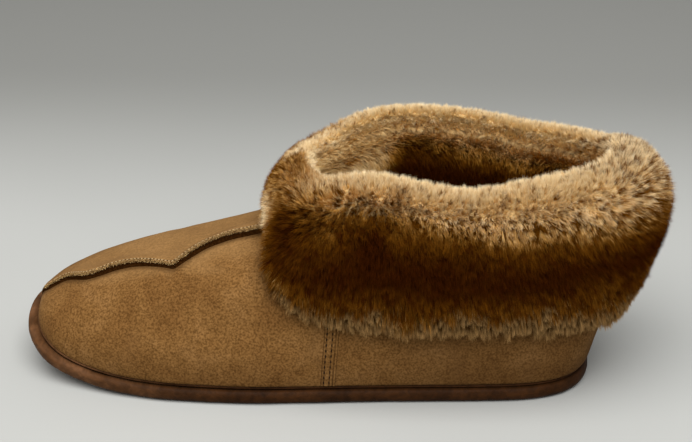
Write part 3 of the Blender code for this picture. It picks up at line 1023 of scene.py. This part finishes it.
def make_lap_stitches(upper, frames, tan_thread, hole_shade):
    """Stitches a little in from the lap's edge, with a needle hole at each end."""
    rise = column(LAP_RISE, "rise", np.linspace(0, 1, LAP_STATIONS))
    line, normals = lap_point(upper, frames, LAP_STITCH_INSET, LAP_STITCH_LIFT * rise)
    centres, ups, alongs = spaced(line, normals, LAP_STITCH_PITCH * 4, LAP_STITCH_PITCH)
    add_beads("lap_stitches", centres, ups, alongs, LAP_STITCH_SIZE, tan_thread)
    between = (centres[1:] + centres[:-1]) / 2 - ups[1:] * LAP_HOLE_SUNK
    add_beads("lap_needle_hole_shade", between, ups[1:], alongs[1:], LAP_HOLE_SIZE, hole_shade)


def side_seam_line(upper, side, offset):
    """A line up the side seam at a distance along the foot from its middle, on the suede."""
    share = np.linspace(0, 1, 46)
    foot, head = np.array(SIDE_SEAM_FOOT), np.array(SIDE_SEAM_HEAD)
    x, z = (foot + (head - foot) * share[:, None]).T
    start = xyz(x + offset, side * 60 * MM, z)
    return [upper.tree.ray_cast(point, (0, -side, 0))[0] for point in start]


def make_side_seam(upper, rand, cuff, side, name, tan, hole_shade):
    """The strip over the side seam, with two rows of needle holes."""
    rows, painted_shade_and_seam = [], []
    for offset, lift, groove_shade in SIDE_SEAM_PROFILE[::-side]:
        places, normals, _ = upper.nearest(side_seam_line(upper, side, offset * MM))
        rows.append(places + normals * lift * MM)
        # Painted shade in the strip's grooves and at its edges, on top of the suede's.
        painted_shade_and_seam.append(np.clip(darken_by_shade_and_seam(places, rand.distance(places), cuff) + groove_shade, 0, 0.9))
    mesh = grid_mesh(name, rows[::-1])
    store(mesh, "painted_shade_and_seam", np.concatenate(painted_shade_and_seam[::-1]))
    add_piece(name, mesh, [tan])
    found = []
    for offset in SIDE_STITCH_ROWS:
        places, normals, _ = upper.nearest(side_seam_line(upper, side, offset))
        found.append(spaced(places, normals, SIDE_STITCH_START, SIDE_STITCH_PITCH))
    centres, ups, alongs = (np.concatenate(parts) for parts in zip(*found))
    centres += ups * SIDE_HOLE_LIFT
    add_beads(name + "_holes", centres, ups, alongs, SIDE_HOLE_SIZE, hole_shade)


# ---- fur


def turn_of(points):
    """The angle round the opening: 0 towards the toe, a quarter turn on the outer side."""
    centre_x, centre_y, half_width, half_length = OPENING
    across = -(points[:, 1] - centre_y) / half_width
    return np.arctan2(across, -(points[:, 0] - centre_x) / half_length)


def degrees_of(points):
    """The same angle in degrees from 0 to 360."""
    return np.degrees(turn_of(points)) % 360


def cuff_limits(cuff):
    """The cuff's highest and lowest points by the angle round the opening."""
    bins = np.linspace(-math.pi, math.pi, CUFF_BINS + 1)
    which = np.digitize(turn_of(cuff.points), bins) - 1
    heights = [cuff.points[which == index, 2] for index in range(CUFF_BINS)]
    middles = (bins[1:] + bins[:-1]) / 2
    return middles, [part.max() for part in heights], [part.min() for part in heights]


def rim_over(points, limits):
    """How high the cuff's crest is at each point's angle round the opening."""
    return np.interp(turn_of(points), limits[0], limits[1], period=2 * math.pi)


def run_of(points, normals, limits):
    """How far down the cuff a point lies: 0 on the crest, 1 at the lower edge, below 0 inside."""
    middles, _, low = limits
    turns = turn_of(points)
    high = rim_over(points, limits)
    depth = high - points[:, 2]
    edge = np.interp(turns, middles, low, period=2 * math.pi)
    share = np.clip(depth / (high - edge), 0, 1)
    radial = xyz(-np.cos(turns) * 0.5, -np.sin(turns), 0)
    outward = (unit(radial) * normals).sum(axis=1)
    return np.where(outward > -0.15, share, -np.clip(depth / (45 * MM), 0, 1))


def stretched(run, degrees):
    """Run stretched so that the dyed band starts and ends at the same values all the way round."""
    start, end = column(BAND, "start", degrees), column(BAND, "end", degrees)
    above = run * BAND_FROM / start
    within = BAND_FROM + (run - start) * (BAND_TO - BAND_FROM) / (end - start)
    below = BAND_TO + (run - end) * (1 - BAND_TO) / (1 - end)
    return np.where(run < start, above, np.where(run < end, within, below))


def patch_dye_shade_and_light(run, degrees):
    """The extra darkness of the listed patches: dyeing, painted shade and painted light."""
    extra = np.zeros(len(run))
    for turn, middle, half_turn, half_run, amount in PATCHES:
        away = ((degrees - turn) / half_turn) ** 2 + ((run - middle) / half_run) ** 2
        extra += amount * np.exp(-away)
    return extra


def strand_mesh(name, roots, tips, widths, dyes_and_shades, ends):
    """Flat strands, each one slim triangle, mapped by their dye and by how far along they end."""
    count = len(roots)
    facing = rng.normal(size=(count, 3)) * 0.6 + np.array([0, 0, 1.0])
    across = unit(np.cross(tips - roots, facing)) * widths[:, None] / 2
    points = np.stack([roots - across, roots + across, tips], axis=1).reshape(-1, 3).tolist()
    mesh = bpy.data.meshes.new(name)
    mesh.from_pydata(points, [], np.arange(count * 3).reshape(-1, 3).tolist())
    sideways = np.array([-1, 1, 0]) * 0.003
    along = ends[:, None] * np.array([0.0, 0.0, 1.0])
    places = np.stack([dyes_and_shades[:, None] + sideways, along], axis=2)
    mesh.uv_layers.new(name=BAKE_MAP).data.foreach_set("uv", places.astype(np.float32).ravel())
    return mesh


def grow(name, material, roots, normals, looks, tuft_count):
    """Strands from roots on a skin, drawn into tufts. looks holds the values for each root."""
    count = len(roots)
    chosen = rng.choice(count, min(tuft_count, count), replace=False)
    tree = tree_of(roots[chosen])
    tuft = np.array([tree.find(root)[1] for root in roots])
    centre = chosen[tuft]
    sway = rng.normal(size=(len(chosen), 3)) * looks["wild"][chosen][:, None]
    reach = 1 + rng.normal(size=len(chosen)) * TUFT_SPREAD
    heading = unit(normals[centre] + looks["lean"][centre] + sway[tuft])
    own = unit(heading + rng.normal(size=(count, 3)) * STRAY)
    length = looks["length"] * reach[tuft] * rng.uniform(0.82, 1.1, count)
    start = roots - normals * STRAND_SUNK
    tips = start + own * length[:, None]
    tuft_length = looks["length"][centre] * reach[tuft]
    tuft_tip = roots[centre] - normals[centre] * STRAND_SUNK + heading * tuft_length[:, None]
    gather = looks["gather"] * rng.uniform(0.6, 1.1, count)
    tips += (tuft_tip - tips) * gather[:, None]
    luck = rng.random(len(chosen))[tuft]
    tipped = TIP_DYE * eased(looks["tipped"] - luck, -0.04, 0.12)
    dye = looks["dye"] + tipped + (luck - 0.5) * 0.08 + rng.normal(size=count) * 0.04
    dyes_and_shades = np.where(looks["cut"], 0.97, 0.02 + 0.85 * np.clip(dye, 0, 1))
    widths = STRAND_WIDTH * looks["width"] * rng.uniform(0.8, 1.2, count)
    add_piece(name, strand_mesh(name, start, tips, widths, dyes_and_shades, looks["end"]), [material])


def turned_inward(roots, normals, rim):
    """Headings that fan from up at the crest to inward, over the joint of roll and lining."""
    turns = turn_of(roots)
    depth = (rim - roots[:, 2]) / MM
    around = xyz(np.cos(turns) * 0.5, np.sin(turns), 0.25)
    facing = (unit(around) * normals).sum(axis=1)
    around[:, 2] = column(FAN, "rise", depth)
    share = (eased(facing, -0.35, 0.1) * eased(depth, 24, 14) * eased(depth, 1, 4))[:, None]
    return unit(normals * (1 - share) + unit(around) * share)


def inner_painted_shade(roots, rim):
    """The painted shade inside: pale by the rim and darker with depth, sooner or later by the
    angle.
    """
    depth = (rim - roots[:, 2]) / MM
    depth += column(SHADE, "sooner_mm", degrees_of(roots))
    return column(DEPTH, "dye", depth + 3 * ripple(roots, 12 * MM, 8))


def cuff_length(run, even, degrees, depth):
    """The pile's length down the cuff, trimmed by the angle, and like the lining's inside."""
    length = column(PILE, "length", even) * MM
    on_roll = column(TRIM, "roll", degrees)
    at_edge = column(TRIM, "edge", degrees)
    length *= on_roll + (at_edge - on_roll) * eased(run, 0.1, 0.75)
    inside = eased(depth, 0, 3 * MM) * (run < 0)
    return length + (column(FAN, "length", depth / MM) * MM - length) * inside


def cuff_lean(roots, turns, even, crest, low):
    """How the pile leans: down by its droop, in over the crest, back a little, and in swirls."""
    combed = 0.2 * crest
    back = 0.12 + combed * np.cos(turns)
    lean = xyz(back, combed * np.sin(turns), -column(PILE, "droop", even))
    swirl = ripples(roots, 16 * MM, (11, 12, 13)) * 0.18
    return lean + (swirl + low[:, None] * ripples(roots, 5 * MM, (15, 16, 17)) * 0.4)


def cuff_looks(roots, normals, rim, limits):
    """The cuff's pile: its dye, length, lean and tufts by how far down and round each root is;
    inside the opening and in some patches that darkness is painted shade and light.
    """
    run = run_of(roots, normals, limits)
    turns = turn_of(roots)
    degrees = degrees_of(roots)
    even = stretched(run, degrees)
    mottle = ripple(roots, 12 * MM, 6) + 0.5 * ripple(roots, 5 * MM, 7)
    drips = ripple(xyz(turns * 60 * MM, 0, roots[:, 2] * 0.25), 7 * MM, 9)
    shifted = even + 0.03 * mottle * (even > 0.03) - 0.045 * drips * eased(even, 0.6, 0.8)
    dye = column(PILE, "dye", shifted) + 0.07 * mottle * eased(even, 0.25, 0.4)
    dye = np.minimum(dye, column(BAND, "most", degrees) + 0.08 * mottle)
    dye += patch_dye_shade_and_light(run, degrees)
    # Inside the opening the wool takes painted shade in place of the dye.
    dye = np.where(run < 0, inner_painted_shade(roots, rim), dye)
    depth = rim - roots[:, 2]
    clump = ripple(roots, 4.5 * MM, 14)
    crest = eased(np.abs(even), 0.14, 0)
    low = eased(even, 0.78, 0.95)
    behind = eased(-np.cos(turns), 0.6, 0.95)
    return {
        "dye": dye,
        "length": cuff_length(run, even, degrees, depth) * (1 + 0.45 * clump * low),
        "lean": cuff_lean(roots, turns, even, crest, low),
        "wild": 0.10 + 0.12 * low + 0.17 * crest,
        "gather": 0.20 + 0.58 * low,
        "tipped": column(PILE, "tipped", shifted) + 0.25 * behind,
        "cut": shifted - 0.05 * clump + rng.normal(size=len(run)) * 0.02 > FRINGE_FROM,
        "end": np.where(run < 0, eased(depth, *CREST) * 0.45 + 0.5, 0.95),
        "width": 1.0,
    }


def make_cuff_fur(cuff, upper, limits, material):
    """The pile of the cuff wherever it doesn't lie against the upper, in pieces round the foot."""
    centres = cuff.centres()
    inner = run_of(centres, cuff.facing(), limits) < 0
    open_air = inner | (upper.distance(centres) > LYING_CLOSE)
    roots, normals = cuff.scattered(open_air, CUFF_STRANDS)
    more_roots, more_normals = cuff.scattered(open_air, 5 * CUFF_STRANDS // 4)
    depth = rim_over(more_roots, limits) - more_roots[:, 2]
    kept = np.nonzero(eased(depth, *CREST) > rng.random(len(depth)))[0][:CREST_STRANDS]
    roots = np.concatenate([roots, more_roots[kept]])
    normals = np.concatenate([normals, more_normals[kept]])
    rim = rim_over(roots, limits)
    degrees = degrees_of(roots)
    tufts = cuff.areas(open_air).sum() / TUFT_AREA
    for name, start, end in CUFF_PARTS:
        chosen = (degrees >= start) & (degrees < end)
        part = (roots[chosen], normals[chosen], rim[chosen])
        looks = cuff_looks(*part, limits)
        count = int(tufts * chosen.mean())
        grow(name, material, part[0], turned_inward(*part), looks, count)


def inner_looks(roots, rim, width):
    """The wool inside the upper, drooping a little."""
    count = len(roots)
    return {
        "dye": inner_painted_shade(roots, rim),
        "length": column(FAN, "length", (rim - roots[:, 2]) / MM) * MM,
        "lean": np.broadcast_to(np.array((0.15, 0, -0.25)), (count, 3)),
        "wild": np.full(count, 0.09),
        "gather": 0.2,
        "tipped": np.full(count, 0.2),
        "cut": np.zeros(count, bool),
        "end": np.full(count, 0.5),
        "width": width,
    }


def make_lining_fur(upper, insole, limits, material):
    """Wool inside the upper and on the insole, closer where it is seen through the opening."""
    centres = upper.centres()
    facing = upper.facing()
    height = centres[:, 2]
    inside = ~outside_of(centres, facing) & (centres[:, 0] > LINING_FRONT)
    seen = height > SEEN_FROM
    low = (height > LINING_FROM) & ~seen
    up = insole.facing()[:, 2] > 0.6
    roll = (facing[:, 2] > 0.1) & (height > RIM_FROM)
    parts = (
        ("lining_wool_rim", upper, (inside | roll) & seen, RIM_STRANDS, 1.0),
        ("lining_wool_low", upper, inside & low, LINING_STRANDS, 2.0),
        ("insole_wool", insole, up, INSOLE_STRANDS, 2.0),
    )
    for name, skin, keep, count, width in parts:
        roots, normals = skin.scattered(keep, count)
        rim = rim_over(roots, limits)
        looks = inner_looks(roots, rim, width)
        normals = turned_inward(roots, normals, rim)
        grow(name, material, roots, normals, looks, count // 6)


def main():
    add_camera()
    add_floor()
    add_lights()
    upper, rand = Skin("upper", 2), Skin("rand", 2)
    cuff, insole = Skin("cuff", 1), Skin("insole", 1)
    frames, limits = seam_frames(upper), cuff_limits(cuff)
    tan, wool = suede(), pile()
    lining = wool_ground("lining_ground", "wool_painted_shade")
    # Painted shade: dark beads that stand for the shade inside the needle holes.
    hole_shade = thread("needle_hole_shade", (0.012, 0.006, 0.003), (0.03, 0.015, 0.006))
    tan_thread = thread("tan_thread", (0.26, 0.16, 0.07), (0.56, 0.42, 0.24))
    leather = rand_leather()
    make_welt(upper, rand, leather)
    make_rand(rand, upper, leather)
    make_suede(upper, Skin("rand", 1), cuff, limits, frames[0], [tan, lining])
    make_lap(upper, frames, [tan, raw_edge(), shaded_wool()], wool)
    make_lap_stitches(upper, frames, tan_thread, hole_shade)
    for side, name in ((-1, "side_seam_outer"), (1, "side_seam_inner")):
        make_side_seam(upper, rand, cuff, side, name, tan, hole_shade)
    make_cuff_fur(cuff, upper, limits, wool)
    make_lining_fur(upper, insole, limits, wool)
    for node, surface in (
        ("cuff", wool_ground("cuff_ground")),
        ("insole", wool_ground("insole_ground")),
        ("outsole", sole_leather()),
    ):
        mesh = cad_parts[node].data
        mesh.materials.clear()
        mesh.materials.append(surface)


main()
